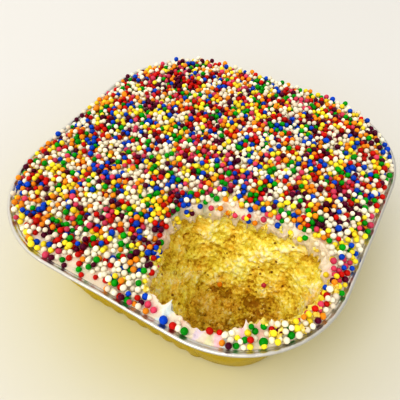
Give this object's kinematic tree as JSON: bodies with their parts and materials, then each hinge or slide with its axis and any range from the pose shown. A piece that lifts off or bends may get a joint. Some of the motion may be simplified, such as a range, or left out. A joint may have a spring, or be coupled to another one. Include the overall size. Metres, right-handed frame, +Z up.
{
  "type": "sprinkle cake",
  "caption": "Small square yellow cake in its own foil tin, iced in white, covered with coloured sugar beads, with one corner scooped out.",
  "frame": {"origin": "middle of the tin's underside, on the surface that it stands on", "axes": "+Z up; the scooped corner points towards +X and -Y, and the tin's sides run along X and Y"},
  "size_m": [0.108, 0.108, 0.0411],
  "materials": {
    "foil": "bright foil, gold outside and silver inside and on the rim",
    "crumb": "open yellow crumb, torn",
    "icing": "soft white icing under glossy sugar beads in eight colours"
  },
  "bodies": {
    "root": {"foil_tin": "foil", "sponge": "crumb", "beaded_icing": "icing"}
  },
  "joints": []
}
